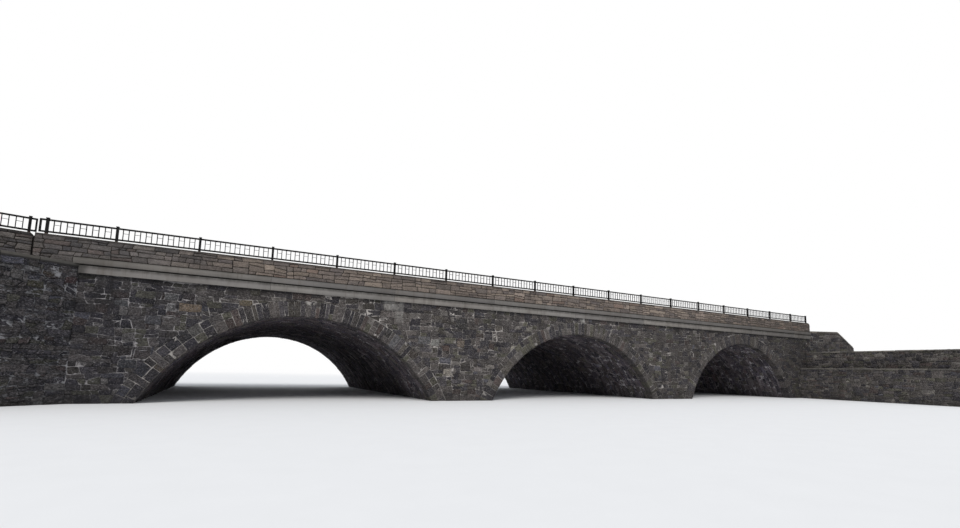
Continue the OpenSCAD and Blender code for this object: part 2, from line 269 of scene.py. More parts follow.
def inside(outline, a, b, c):
    """The part of a convex outline where a * u + b * v >= c."""
    kept = []
    for (u0, v0), (u1, v1) in sides(outline):
        d0, d1 = a * u0 + b * v0 - c, a * u1 + b * v1 - c
        if d0 >= 0:
            kept.append((u0, v0))
        if d0 * d1 < 0:
            t = d0 / (d0 - d1)
            kept.append((u0 + t * (u1 - u0), v0 + t * (v1 - v0)))
    return kept


def below(u0, v0, u1, v1):
    """Cut that keeps what is right of the line from one point to the other, for inside()."""
    return v1 - v0, u0 - u1, (v1 - v0) * u0 + (u0 - u1) * v0


def area(outline):
    """Area of an outline, positive where it runs anticlockwise."""
    return sum(u0 * v1 - u1 * v0 for (u0, v0), (u1, v1) in sides(outline)) / 2


def shrunk(outline, gap):
    """A convex outline, anticlockwise, with each side moved inward by gap."""
    result = outline
    for (u0, v0), (u1, v1) in sides(outline):
        length = math.hypot(u1 - u0, v1 - v0)
        if length > 1e-6:
            a, b = -(v1 - v0) / length, (u1 - u0) / length
            result = inside(result, a, b, a * u0 + b * v0 + gap)
        if len(result) < 3:
            return []
    return result


def around(outline, u0, u1, v0, v1):
    """The parts of a convex outline beside, under and over a rectangle, or the whole of it where they don't meet."""
    if (max(p[0] for p in outline) <= u0 or min(p[0] for p in outline) >= u1
            or max(p[1] for p in outline) <= v0 or min(p[1] for p in outline) >= v1):
        return [outline]
    parts, rest = [], outline
    for a, b, c in ((-1, 0, -u0), (1, 0, u1), (0, -1, -v0), (0, 1, v1)):
        parts.append(inside(rest, a, b, c))
        rest = inside(rest, -a, -b, -c)
        if len(rest) < 3 or area(rest) < 1e-4:
            return [outline]
    return [part for part in parts if len(part) > 2]


def worn(outline, rng, corner, step, wander):
    """Outline with its corners knocked off and its long sides broken up and a little uneven."""
    points = []
    for i, here in enumerate(outline):
        here = Vector(here)
        cut = corner * rng.uniform(0.3, 1)
        for other in (Vector(outline[i - 1]), Vector(outline[(i + 1) % len(outline)])):
            points.append(here + (other - here) * min(cut / max((other - here).length, 1e-6), 0.42))
    broken = []
    for start, end in sides(points):
        parts = max(1, min(5, round((end - start).length / step)))
        broken += [start.lerp(end, i / parts) for i in range(parts)]
    return [(p.x + rng.uniform(-wander, wander), p.y + rng.uniform(-wander, wander)) for p in broken]


class Stonework:
    """Many stones in one mesh, each with its own colour in the attribute 'tint'."""

    def __init__(self, seed, palette=STONE_COLOURS, spread=0.33, gain=(1, 1, 1)):
        self.rng, self.spread = random.Random(seed), spread
        self.weights = [weight for weight, *_ in palette]
        self.colours = [tuple(c * k for c, k in zip(rgb(*shade), gain)) for _, *shade in palette]
        self.verts, self.faces, self.tints = [], [], []

    def face(self, place, limits=None, wave=0):
        """Starts on a face: place(u, v, w) maps it, w outward, limits are the ends that stones keep to,
        and wave is how far its courses stray."""
        self.place, self.limits, self.wave = place, limits, wave
        self.drift = self.rng.uniform(0, 90)

    def colour(self):
        """One of the colours, a little lighter or darker."""
        pick = self.rng.choices(self.colours, self.weights)[0]
        value = self.rng.uniform(1 - self.spread, 1 + self.spread)
        return tuple(min(1, c * value) for c in pick) + (1,)

    def put(self, u, v, w):
        """Adds a vertex, moved by slow waves that keep the courses from being dead straight."""
        if self.wave:
            slow = noise.noise_vector(Vector((u * 0.9, v * 2.1, self.drift))) * self.wave
            quick = noise.noise_vector(Vector((u * 2.7, v * 4.3, self.drift + 7))) * self.wave * 0.55
            u, v = u + slow.x + quick.x, v + slow.y + quick.y
        if self.limits:
            u0, u1, v0, v1 = self.limits
            u, v = min(max(u, u0), u1), min(max(v, v0), v1)
        self.verts.append(self.place(u, v, w))

    def lay(self, outline, proud, tint, gap=JOINT, corner=0.028, step=0.12, wander=0.01, arris=0.011, rough=0.006,
            lean=0.04, root=0.01, crown=True, closed=False):
        """Adds one stone on an anticlockwise convex outline in u and v."""
        rng = self.rng
        outline = shrunk(outline, gap)
        if len(outline) < 3 or area(outline) < 0.001:
            return
        outer = worn(outline, rng, corner, step, wander)
        count = len(outer)
        cu, cv = sum(p[0] for p in outer) / count, sum(p[1] for p in outer) / count
        lean_u, lean_v = rng.uniform(-lean, lean), rng.uniform(-lean, lean)
        first, size = len(self.verts), math.sqrt(area(outline))
        rings = [(0, -root, 0), (0, proud - arris * 0.6, 0.3), (arris, proud, 1)]
        if crown and size > 0.2:
            rings.append((arris + size * 0.22, proud + 0.004, 1.5))
        for inset, lift, play in rings:
            for u, v in outer:
                reach = max(math.hypot(u - cu, v - cv), 1e-6)
                k = 1 - min(inset * rng.uniform(0.7, 1.3) / reach, 0.8)
                pu, pv = cu + (u - cu) * k, cv + (v - cv) * k
                self.put(pu, pv, lift + play * (lean_u * (pu - cu) + lean_v * (pv - cv) + rng.uniform(-rough, rough)))
        self.put(cu, cv, proud + rng.uniform(-rough, rough) * 1.5)
        for ring in range(len(rings) - 1):
            a, b = first + ring * count, first + (ring + 1) * count
            self.faces += [(a + i, a + (i + 1) % count, b + (i + 1) % count, b + i) for i in range(count)]
        last = first + (len(rings) - 1) * count
        self.faces += [(last + i, last + (i + 1) % count, first + len(rings) * count) for i in range(count)]
        if closed:
            self.faces.append(tuple(first + count - 1 - i for i in range(count)))
        self.tints += [tint] * (len(self.verts) - first)

    def block(self, low, high, bevel, tint, play=0.0):
        """Adds a block between two corners in u, v and w, with all its edges taken off."""
        first, ends = len(self.verts), (low, high)
        corners = [(i, j, k) for i in (0, 1) for j in (0, 1) for k in (0, 1)]
        spots = {}
        for corner in corners:
            for flat in range(3):
                spot = [ends[corner[a]][a] + (a != flat) * bevel * (1 - 2 * corner[a]) for a in range(3)]
                spots[corner, flat] = len(self.verts), Vector(spot)
                self.verts.append(self.place(*(p + self.rng.uniform(-play, play) for p in spot)))
        groups = [[(c, a) for a in range(3)] for c in corners]
        groups += [[(c, a) for c in corners if c[a] == end] for a in range(3) for end in (0, 1)]
        groups += [[(c, x) for c in corners if c[a] == i and c[b] == j for x in (a, b)]
                   for a, b in ((0, 1), (0, 2), (1, 2)) for i in (0, 1) for j in (0, 1)]
        middle = (Vector(low) + Vector(high)) / 2
        for group in groups:
            points = [spots[key][1] for key in group]
            centre = sum(points, Vector()) / len(points)
            normal = (points[1] - points[0]).cross(points[2] - points[0]).normalized()
            normal = -normal if normal.dot(centre - middle) < 0 else normal
            across = (points[0] - centre).normalized()
            turn = normal.cross(across)

            def bearing(key):
                return math.atan2((spots[key][1] - centre).dot(turn), (spots[key][1] - centre).dot(across))

            self.faces.append(tuple(spots[key][0] for key in sorted(group, key=bearing)))
        self.tints += [tint] * (len(self.verts) - first)

    def build(self, name, material, sharp=48):
        mesh = bpy.data.meshes.new(name)
        mesh.from_pydata(self.verts, [], self.faces)
        tints = mesh.attributes.new("tint", "FLOAT_COLOR", "POINT")
        tints.data.foreach_set("color", [c for tint in self.tints for c in tint])
        mesh.materials.append(material)
        mesh.polygons.foreach_set("use_smooth", [True] * len(mesh.polygons))
        mesh.set_sharp_from_angle(angle=math.radians(sharp))
        mesh.update()
        made = add(name, mesh)
        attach(made, "root")


def cut_row(rng, start, end, short, long):
    """Places of the joints along a course, with both ends."""
    joints = [start]
    while joints[-1] < end - 1e-6:
        step = joints[-1] + rng.uniform(short, long)
        joints.append(end if end - step < short * 0.8 else step)
    return joints


def random_rubble(rng, u0, u1, v0, v1, low=0.12, high=0.31, short=0.17, long=0.62, slant=0.045, whole=0.75):
    """Outlines of rubble brought to a level every half metre or so: each lift is cut into stones of many sizes."""
    outlines, v = [], v0
    while v < v1 - 1e-6:
        level = v + rng.uniform(1.4, 2.5) * high
        level = v1 if v1 - level < low * 1.6 else level
        joints = cut_row(rng, u0, u1, long * 1.3, long * 3.4)
        leant = [joints[0], *(u + rng.uniform(-slant, slant) for u in joints[1:-1]), joints[-1]]
        cells = [[Vector((a, v)), Vector((b, v)), Vector((d, level)), Vector((c, level))]
                 for a, b, c, d in zip(joints, joints[1:], leant, leant[1:])]
        while cells:
            p, q, r, t = cells.pop()
            wide, tall = (q - p + r - t).length / 2, (t - p + r - q).length / 2
            small = wide < 2 * short and tall < 2 * low
            if wide <= long and tall <= high and (small or rng.random() < whole):
                outlines.append([tuple(corner) for corner in (p, q, r, t)])
                continue
            if wide <= long:
                upright = tall <= high and tall < 2 * low
            else:
                upright = tall <= high or rng.random() < 0.5
            extent, least = (wide, short) if upright else (tall, low)
            margin = min(least / extent, 0.5)
            share, tilt = rng.uniform(margin, 1 - margin), rng.uniform(-slant, slant) / extent
            first, second = min(max(share - tilt, 0.12), 0.88), min(max(share + tilt, 0.12), 0.88)
            if upright:
                foot, peak = p.lerp(q, first), t.lerp(r, second)
                cells += [[p, foot, peak, t], [foot, q, r, peak]]
            else:
                near, far = p.lerp(t, first), q.lerp(r, second)
                cells += [[p, q, far, near], [near, far, r, t]]
        v = level
    return outlines


def wall(x0, y0, x1, y1):
    """Map of a wall face between two corners, left to right as seen from outside: u along, v up, w outward."""
    length = math.hypot(x1 - x0, y1 - y0)
    ux, uy = (x1 - x0) / length, (y1 - y0) / length
    return lambda u, v, w: at(x0 + u * ux + w * uy, y0 + u * uy - w * ux, v)


def cover(work, corners, v0, v1, near=True, discs=(), cut=None, singles=(), past=(0, 0), proud=(0.003, 0.03),
          wave=0.04, style=None, **pattern):
    """Covers a wall face with stones, around the single ones, clear of the discs (u, v, radius) and inside the cut.
    past is how far they run on at both ends. Where near is False it's the mirrored face on the far side."""
    x0, y0, x1, y1 = corners
    length = math.hypot(x1 - x0, y1 - y0)
    if not near:
        corners, past = (x1, BRIDGE_W - y1, x0, BRIDGE_W - y0), past[::-1]
        discs = [(length - u, v, radius) for u, v, radius in discs]
        cut = cut and (-cut[0], cut[1], cut[2] - cut[0] * length)
    u0, u1 = -past[0], length + past[1]
    work.face(wall(*corners), (u0, u1, v0, v1), wave)
    plain, laid = random_rubble(work.rng, u0 * 1.4, length + past[1] * 1.4, v0, v1, **pattern), []
    for u, v, wide, high, *shade in singles:
        left, right, foot, head = u - wide / 2, u + wide / 2, v - high / 2, v + high / 2
        plain = [part for outline in plain for part in around(outline, left, right, foot, head)]
        skew = [work.rng.uniform(-0.025, 0.025) for _ in range(4)]
        stone = [(left, foot + skew[0]), (right, foot + skew[1]), (right + skew[2], head), (left + skew[3], head)]
        laid.append((stone, rgb(*shade)))
    for outline, tint in laid + [(outline, None) for outline in plain]:
        for cu, cv, radius in discs:
            if outline:
                mu = sum(p[0] for p in outline) / len(outline) - cu
                mv = sum(p[1] for p in outline) / len(outline) - cv
                reach = math.hypot(mu, mv)
                if reach < radius + 1.2:
                    ragged = radius + work.rng.uniform(-0.03, 0.005)
                    outline = inside(outline, mu / reach, mv / reach, ragged + (mu * cu + mv * cv) / reach)
        if cut and outline:
            outline = inside(outline, *cut)
        if len(outline) > 2 and area(outline) > 0.003:
            work.lay(outline, work.rng.uniform(*proud), tint or work.colour(),
                     **{"gap": work.rng.uniform(0.004, 0.01), **(style or {})})


def painted_end_shade(f, end_shade):
    """Painted shade: darkens both ends of the bridge and its right half, and makes the end with the flared parapets
    bluer too.
    """
    x = f.along(0)
    f.dim(f.blend(WHITE, (0.82, 0.84, 0.91, 1), x.rises(-7.3, -9.4)))
    f.dim(1 - x.size().rises(6.6, 10.4) * end_shade - x.rises(0.5, 4.2) * 0.2)


def stone_finish(name, grime=0.32, moss=0.0, pale=0.0, gloss=0.86, end_shade=None, even=False, marks_and_shade=None):
    """Weathered stone: its own tint, mottled, with fine grain, pale flecks, warm and cold patches, dark grime, a damp
    foot and lime bloom. Even stone has less contrast; the function given adds marks and painted shade of its own, and
    painted shade can darken the ends."""
    f = Finish(name, Specular_IOR_Level=0.25)
    f.colour = f.tint()
    mottle = f.noise(11, 8, 0.72).rises(0.3, 0.7)
    chips = f.noise(36, 5, 0.75, 1.7).rises(0.4, 0.6)
    grain = f.noise(120, 4, 0.7)
    f.dim(0.45 + mottle * 0.3 + chips * 0.3 + grain * 0.5 if even else mottle * 0.42 + chips * 1.12 + grain * 0.5)
    f.coat(rgb(140, 135, 133), f.noise(44, 4, 0.65, 1.4).rises(0.56, 0.62) * (0.15 if even else 0.62))
    f.coat(rgb(106, 96, 87), f.noise(17, 5, 0.7, 2.2).rises(0.52, 0.68) * 0.2)
    f.coat(rgb(71, 70, 79), f.noise(5.3, 5, 0.66).rises(0.55, 0.7) * 0.25)
    f.coat(rgb(42, 40, 39), f.noise(2.2, 6, 0.7).rises(0.5, 0.68) * grime)
    f.coat(rgb(47, 45, 45), f.along(2).rises(0.4, 0.03) * f.noise(5, 4, 0.6).rises(0.25, 0.6) * 0.55)
    if pale:
        f.coat(rgb(172, 169, 162), f.noise(3.4, 7, 0.74, 0.42).rises(0.6, 0.72) * pale)
    if marks_and_shade:
        marks_and_shade(f)
    # painted shade at the ends of the bridge
    if end_shade is not None:
        painted_end_shade(f, end_shade)
    if moss:
        f.coat(rgb(86, 88, 72), f.noise(6.5, 6, 0.7).rises(0.57, 0.7) * moss)
    return f.done(gloss + grain * 0.12, f.noise(17, 9, 0.74) * 0.8 + chips * 0.16 + grain * 0.1, 1, 0.045)


def mortar_finish(name, colour, dark, faces=None, end_shade=None):
    """Lime mortar: sandy, stained by damp, darker on the end walls; faces is its colour near both faces."""
    f = Finish(name, Specular_IOR_Level=0.2)
    sand = f.noise(150, 3, 0.7)
    f.colour = f.blend(dark, colour, f.noise(4.2, 6, 0.75).rises(0.42, 0.58))
    # painted shade at the ends of the bridge
    if end_shade is not None:
        painted_end_shade(f, end_shade)
    if faces:
        middle = (BRIDGE_W / 2 - ORIGIN_Y) * SCALE
        patchy = f.blend(rgb(84, 82, 79), faces, f.noise(5.5, 5, 0.75).rises(0.36, 0.56))
        f.colour = f.blend(patchy, f.colour, (f.along(1) - middle).size().rises(3.69, 3.66))
    f.coat(rgb(84, 82, 80), f.along(0).size().rises(11.3, 11.6) * 0.6)
    f.dim(0.66 + sand * 0.66)
    f.coat(rgb(52, 50, 48), f.along(2).rises(0.3, 0.02) * 0.55)
    return f.done(0.9 + sand * 0.08, f.noise(60, 6, 0.7) * 0.6 + sand * 0.4, 0.6, 0.006)


def dress(material, *starts):
    """Puts a material on the CAD nodes whose names start like this. They keep their shape."""
    for name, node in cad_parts.items():
        if name.startswith(starts):
            node.data.materials.clear()
            node.data.materials.append(material)


# place along the bridge, half width and lowest point on the model, strength and colour
LIME_AND_DRAINS = (
    (16.4, 0.11, 1.93, 0.85, 206, 204, 200), (6.07, 0.2, 1.86, 0.6, 176, 174, 170),
    (6.5, 0.12, 1.6, 0.4, 160, 158, 154), (21.0, 0.22, 1.84, 0.7, 30, 29, 29), (23.5, 0.2, 1.82, 0.7, 30, 29, 29),
    (26.4, 0.2, 1.84, 0.6, 34, 33, 32), (-3.6, 0.2, 1.5, 0.5, 44, 42, 42), (11.3, 0.18, 1.7, 0.5, 40, 38, 38))


def rubble_dirt_and_shade(f):
    """Dark runs from the band above, drip stains with painted shade in a ragged strip right under the band's overhang,
    stronger at the left end, and on the front the marks of lime and drains.
    """
    x, z, front, head = f.along(0), f.along(2), f.along(1).rises(0, -1), WALL_TOP * SCALE
    f.coat(rgb(42, 40, 40), f.noise(5, 5, 0.7, 0.1).rises(0.5, 0.66) * z.rises(head - 0.785, head - 0.005) * 0.4)
    # drip stains and painted shade: a ragged dark strip just under the overhanging band
    drip_and_shade = z.rises(head - 0.135, head - 0.01) * f.noise(6, 4, 0.7, 0.3).rises(0.3, 0.6)
    f.coat(rgb(36, 34, 35), drip_and_shade * (0.25 + x.rises(-6.0, -8.0) * 0.4))
    ragged = f.noise(9, 4, 0.7, 0.25).rises(0.34, 0.6)
    for spot, half, lowest, amount, *shade in LIME_AND_DRAINS:
        close = (x - (spot - ORIGIN_X) * SCALE).size().rises(half, half * 0.3)
        f.coat(rgb(*shade), close * ragged * z.rises(lowest, lowest + 0.1) * front * amount)


rubble = stone_finish("rubble_stone", pale=0.2, end_shade=0.25, marks_and_shade=rubble_dirt_and_shade)
rubble_mortar = mortar_finish("rubble_mortar", rgb(162, 157, 153), rgb(50, 47, 48), end_shade=0.25)

front_face = (LEFT_CORNER, 0, RIGHT_CORNER, 0)
rings = [(x - LEFT_CORNER, crown - r, r + RING) for x, r, crown in ARCHES.values()]
work = Stonework(11)
cover(work, front_face, 0, WALL_TOP, discs=rings, singles=[(x - LEFT_CORNER, *rest) for x, *rest in FRONT_STONES])
work.build("rubble_front", rubble)
work = Stonework(12)
cover(work, front_face, 0, WALL_TOP, near=False, discs=rings, style=dict(step=0.2))
work.build("rubble_back", rubble)
dress(rubble_mortar, "spandrel", "pier", "abutment")

# Arches: a ring of squared stones shows on each face, in two rows at the haunches and one at the crown,
# and the vault behind it is laid of thin stones with their long sides along the curve. All have lime joints.
RING_SOFFIT = 0.42  # how far the ring stones reach in under the arch
LOWEST = 0.002  # the stones stop here, just above the floor
VAULT_GAIN = (1.42, 1.36, 1.58)  # the vault stones are lighter and bluer than the faces
# single stones that stand out on the front rings: a point in the stone, and its colour
FRONT_VOUSSOIRS = (
    (-1.96, 1.32, 82, 74, 65), (-1.25, 2.21, 50, 49, 51), (-0.89, 2.34, 88, 86, 83), (-2.32, 1.22, 58, 58, 62),
    (6.05, 2.9, 48, 47, 47), (6.24, 2.53, 90, 89, 92), (7.14, 2.16, 63, 58, 55), (19.67, 2.62, 55, 54, 54))


def holds(outline, u, v):
    """Whether a point lies in a convex outline."""
    return all((u1 - u0) * (v - v0) >= (v1 - v0) * (u - u0) for (u0, v0), (u1, v1) in sides(outline))


def vault_soot(f):
    """Soot and damp in wide dark patches."""
    f.coat(rgb(38, 36, 37), f.noise(1.4, 5, 0.65).rises(0.36, 0.62) * 0.15)


ring_stone = stone_finish("arch_stone", grime=0.3, pale=0.22, end_shade=0.25)
vault_stone = stone_finish("vault_stone", grime=0.35, pale=0.3, marks_and_shade=vault_soot)
arch_mortar = mortar_finish("arch_mortar", rgb(168, 164, 168), rgb(58, 56, 60), rgb(142, 138, 135))


def ring_cells(rng, half):
    """Arch stones as places s along the middle of the ring and d across it, most of them paired at the left haunch."""
    cells, s = [], -half
    while s < half - 1e-6:
        near_crown = abs(s) < half * 0.5
        if near_crown or rng.random() < (0.25 if s < 0 else 0.6):
            end = s + (rng.uniform(0.13, 0.26) if near_crown else rng.uniform(0.18, 0.32))
            end = half if half - end < 0.15 else end
            if rng.random() < 0.18:
                middle = rng.uniform(0.2, 0.42)
                cells += [(s, 0, end, middle), (s, middle, end, RING)]
            else:
                cells.append((s, 0, end, RING - rng.uniform(-0.005, 0.015)))
        else:
            end = s + rng.uniform(0.5, 1.1)
            end = half if half - end < 0.4 else end
            middle = rng.uniform(0.24, 0.36)
            for low, high in ((0, middle), (middle, RING - rng.uniform(-0.005, 0.015))):
                cells += [(a, low, b, high) for a, b in pairwise(cut_row(rng, s, end, 0.2, 0.46))]
        s = end
    return cells


for number, (name, (centre, radius, crown)) in enumerate(ARCHES.items()):
    hub, middle_r = crown - radius, radius + RING / 2
    inner_end = math.acos(-hub / radius) * middle_r
    outer_end = math.acos(-hub / (radius + RING)) * middle_r
    vault_end = math.acos(-hub / radius) * radius - 0.02

    def around_hub(turn, reach, y):
        return at(centre + reach * math.sin(turn), y, max(hub + reach * math.cos(turn), LOWEST))

    def under_arch(u, v, w):
        return around_hub(v / radius, radius - w, u)

    work = Stonework(21 + number)
    vault = Stonework(31 + number, spread=0.4, gain=VAULT_GAIN)
    for way, face_y in ((1, 0), (-1, BRIDGE_W)):
        def on_ring(s, d, w):
            return around_hub(way * s / middle_r, radius + d, face_y - way * w)

        work.face(on_ring, (-outer_end, outer_end, -0.02, RING), 0.01)
        vault.face(under_arch, (-0.025, BRIDGE_W + 0.025, -vault_end, vault_end))
        edge = (outer_end - inner_end) / RING
        for s0, d0, s1, d1 in ring_cells(work.rng, outer_end):
            start = d0 if d0 else -0.03
            outline = [(s0, start), (s1, start), (s1, d1), (s0, d1)]
            tint = None
            for x, z, *shade in FRONT_VOUSSOIRS if way > 0 else ():
                if holds(outline, math.atan2(x - centre, z - hub) * middle_r, math.hypot(x - centre, z - hub) - radius):
                    tint = rgb(*shade)
            tint = tint or work.colour()
            outline = inside(inside(outline, -1, edge, -inner_end), 1, edge, -inner_end)
            if len(outline) > 2:
                work.lay(outline, work.rng.uniform(0.006, 0.02), tint, gap=work.rng.uniform(0.005, 0.012), corner=0.025,
                         wander=0.008, arris=0.011, lean=0.04)
            v0, v1 = sorted((way * s0 * radius / middle_r, way * s1 * radius / middle_r))
            v0, v1 = max(v0, -vault_end), min(v1, vault_end)
            if not d0 and v1 - v0 > 0.05:
                near, far = (-0.05, RING_SOFFIT) if way > 0 else (BRIDGE_W - RING_SOFFIT, BRIDGE_W + 0.05)
                vault.lay([(near, v0), (far, v0), (far, v1), (near, v1)], vault.rng.uniform(0.014, 0.03), tint,
                          gap=0.009, corner=0.02, arris=0.014, crown=False, step=0.3, lean=0.02)
    work.build("arch_ring_" + name, ring_stone)

    vault.face(under_arch, (0, BRIDGE_W, -vault_end, vault_end), 0.03)
    for outline in random_rubble(vault.rng, -vault_end, vault_end, RING_SOFFIT, BRIDGE_W - RING_SOFFIT,
                                 low=0.11, high=0.3, short=0.22, long=0.75, slant=0.06, whole=0.8):
        vault.lay([(v, u) for u, v in reversed(outline)], vault.rng.uniform(0.002, 0.045), vault.colour(),
                  gap=vault.rng.uniform(0.008, 0.02), corner=0.04, step=0.7, arris=0.018, lean=0.12, crown=False)
    vault.build("vault_stones_" + name, vault_stone)

dress(arch_mortar, "arch")

# Wing walls: the same field stone as the faces, in smaller, less regular pieces on the left ones, laid in lime mortar.
# The ends and inner faces of the walls and the flat ends of both abutments are laid up the same way.
WALL_T = 0.6
WING_TOP, COPING_T = 4.47, 0.125
LEFT_WAY, LEFT_L = math.radians(35), 4.6
RIGHT_WAY, RIGHT_L = math.radians(26), 3.2
WING_R_TOP, WING_R_LOW, WING_R_FLAT = 4.745, 3.65, 2.1
left_out = (LEFT_CORNER - LEFT_L * math.cos(LEFT_WAY), -LEFT_L * math.sin(LEFT_WAY))
left_in = (left_out[0] - WALL_T * math.sin(LEFT_WAY), left_out[1] + WALL_T * math.cos(LEFT_WAY))
across_right = (WALL_T * math.sin(RIGHT_WAY), WALL_T * math.cos(RIGHT_WAY))
right_out = (RIGHT_CORNER + RIGHT_L * math.cos(RIGHT_WAY), -RIGHT_L * math.sin(RIGHT_WAY))
right_in = (right_out[0] + across_right[0], right_out[1] + across_right[1])
flat_in = (RIGHT_CORNER + WING_R_FLAT * math.cos(RIGHT_WAY) + across_right[0],
           -WING_R_FLAT * math.sin(RIGHT_WAY) + across_right[1])
LAP = 0.02  # how far stones pass the end of a wall, so that two faces close the corner
WING_PATTERN = dict(low=0.09, high=0.25, short=0.16, long=0.62, slant=0.07, whole=0.7)
WING_STYLE = dict(corner=0.035, step=0.1, wander=0.014, rough=0.012, arris=0.014, lean=0.1)
WING_GAIN = (0.88, 0.88, 0.88)
# single stones of the left wing: distance from the corner, height, size and colour
WING_STONES = (
    (1.2, 4.08, 0.4, 0.15, 112, 110, 108), (1.78, 4.03, 0.34, 0.09, 98, 96, 94), (1.5, 3.84, 0.26, 0.28, 88, 85, 82),
    (1.03, 3.63, 0.44, 0.2, 72, 69, 58), (0.1, 3.09, 0.46, 0.3, 46, 45, 48), (0.2, 3.9, 0.3, 0.22, 64, 50, 50),
    (0.7, 4.04, 0.46, 0.14, 74, 66, 58))

wing_rubble = stone_finish("wing_rubble_stone", grime=0.3, pale=0.16, moss=0.12, end_shade=0)
wing_mortar = mortar_finish("wing_mortar", rgb(142, 140, 138), rgb(44, 43, 43), end_shade=0)
dress(wing_mortar, "wing_front", "wing_back")

RAKE_T = 0.12  # thickness of the coping on the right walls, level and raked
tail = RIGHT_L - WING_R_FLAT
rake = math.atan2(WING_R_TOP - WING_R_LOW, tail)
for seed, near in ((41, True), (42, False)):
    side_name = "front" if near else "back"
    work = Stonework(seed, gain=WING_GAIN)
    cover(work, (*left_out, LEFT_CORNER, 0), 0, WING_TOP - COPING_T, near, past=(LAP, 0), proud=(0.0, 0.06), wave=0.05,
          style=WING_STYLE, singles=[(LEFT_L - u, *rest) for u, *rest in WING_STONES] if near else (), **WING_PATTERN)
    cover(work, (*left_in, *left_out), 0, WING_TOP - COPING_T, near, past=(0, LAP), style=WING_STYLE, **WING_PATTERN)
    work.build("wing_rubble_left_" + side_name, wing_rubble)

    work = Stonework(seed + 4, gain=WING_GAIN)
    cover(work, (RIGHT_CORNER, 0, *right_out), 0, WING_R_TOP - RAKE_T, near, past=(0, LAP),
          cut=below(WING_R_FLAT, WING_R_TOP, RIGHT_L, WING_R_LOW))
    cover(work, (*right_out, *right_in), 0, WING_R_LOW, near, past=(LAP, LAP))
    cover(work, (*right_in, *flat_in), 0, WING_R_TOP - RAKE_T, near, past=(LAP, 0),
          cut=below(0, WING_R_LOW, tail, WING_R_TOP))
    work.build("wing_rubble_right_" + side_name, wing_rubble)

END_STYLE = dict(corner=0.035, step=0.3, wander=0.014, rough=0.01, lean=0.08, crown=False)
work = Stonework(49, gain=WING_GAIN)
cover(work, (left_in[0], BRIDGE_W - left_in[1], *left_in), 0, WING_TOP, style=END_STYLE)
cover(work, (*flat_in, flat_in[0], BRIDGE_W - flat_in[1]), 0, WING_TOP, style=END_STYLE)
work.build("abutment_end_rubble", wing_rubble)

# Copings: cast concrete slabs with a small overhang on the left wing walls, weathered dark on top, and flat stones
# on the right ones, level and then down the rake. Both are bedded in mortar, in lengths of about a metre or less.
OVERHANG = 0.05
BED = 0.005  # half a joint between coping stones


def concrete_finish(name, tone, stain, grime=0.3, runs=0.35, pits=0.35, marks_and_shade=None):
    """Cast concrete: tinted per unit or of one tone, cloudy, with dark runs, fine pores, and dirt and painted shade of
    its own.
    """
    f = Finish(name, Specular_IOR_Level=0.3)
    f.colour = tone or f.tint()
    fine = f.noise(120, 4, 0.7)
    f.dim(0.82 + f.noise(2.6, 6, 0.62).rises(0.3, 0.7) * 0.22 + fine * 0.14)
    f.coat(stain, f.noise(0.9, 5, 0.6).rises(0.45, 0.65) * 0.25)
    f.coat(stain, f.noise(7, 5, 0.7, 0.06).rises(0.5, 0.68) * runs)
    f.coat(rgb(70, 67, 63), f.noise(13, 6, 0.75).rises(0.58, 0.72) * grime)
    if marks_and_shade:
        marks_and_shade(f)
    pores = f.cells("F1", 55.0, "Distance").rises(0.0, 0.22)
    return f.done(0.8 + fine * 0.15, f.noise(24, 6, 0.65) * 0.6 + pores * pits + fine * 0.2, 0.45, 0.005)


def coping_edge_shade(f):
    """Painted shade along the lower edge of the slabs, under their overhang."""
    top = WING_TOP * SCALE
    f.coat(rgb(30, 29, 29), f.along(2).rises(top - 0.029, top - 0.043) * 0.85)


def on_wing(corner, out, turn, way, z=0):
    """Map of the top of a wing wall: u outward from its corner, v across and w up. out is -1 for the left wings."""
    def place(u, v, w):
        x = corner + out * u * math.cos(turn) + way * v * math.sin(turn)
        y = -u * math.sin(turn) + out * way * v * math.cos(turn)
        return at(x, y if way > 0 else BRIDGE_W - y, z + w)
    return place


cap_stone = stone_finish("cap_stone", grime=0.3, pale=0.1, moss=0.25, even=True)
coping = concrete_finish("coping_concrete", None, rgb(54, 52, 50), grime=0.5, runs=0.4, marks_and_shade=coping_edge_shade)
coping_bed = concrete_finish("coping_bed_concrete", rgb(66, 65, 64), rgb(50, 49, 48), grime=0.5, marks_and_shade=coping_edge_shade)
work = Stonework(51, ((3, 76, 73, 69), (2, 70, 68, 65), (1, 84, 80, 75)), 0.08)
for way in (1, -1):
    outer = (-WALL_T, OVERHANG) if way > 0 else (-OVERHANG, WALL_T)
    work.face(on_wing(LEFT_CORNER, -1, LEFT_WAY, way, WING_TOP), (0, LEFT_L + LAP, *outer))
    for a, b in pairwise(cut_row(work.rng, 0.0, LEFT_L + LAP, 0.85, 1.2)):
        outline = [(a, outer[0]), (b, outer[0]), (b, outer[1]), (a, outer[1])]
        work.lay(outline, 0.006, work.colour(), gap=0.005, corner=0.012, step=0.4, wander=0.002, arris=0.014,
                 rough=0.0015, lean=0.006, root=COPING_T - 0.002, crown=False, closed=True)
work.build("wing_coping_slabs", coping)
dress(coping_bed, "wing_coping")

